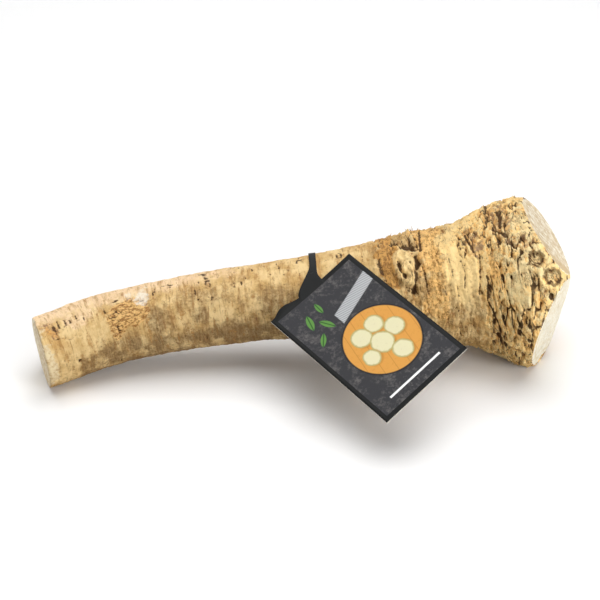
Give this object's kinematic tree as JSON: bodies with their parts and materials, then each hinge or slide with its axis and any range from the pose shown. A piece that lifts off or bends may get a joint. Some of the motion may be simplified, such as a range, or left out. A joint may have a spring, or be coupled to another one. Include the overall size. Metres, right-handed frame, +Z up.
{
  "type": "horseradish root",
  "caption": "Whole fresh horseradish root with a knobbly crown and a trimmed thin end, lying on its side, with a printed card loop tag strapped round its middle.",
  "frame": {"origin": "below the middle of the whole object's box, on the surface that the root lies on", "axes": "+X along the root from the thin cut end to the crown, -Y towards the side that the tag hangs on, +Z up"},
  "size_m": [0.2503, 0.1308, 0.0751],
  "materials": {
    "root_bark": "dry corky root bark, matte",
    "printed_card": "thin printed card with a satin varnish"
  },
  "bodies": {
    "root": {"horseradish_root": "root_bark", "loop_tag": "printed_card"}
  },
  "joints": []
}
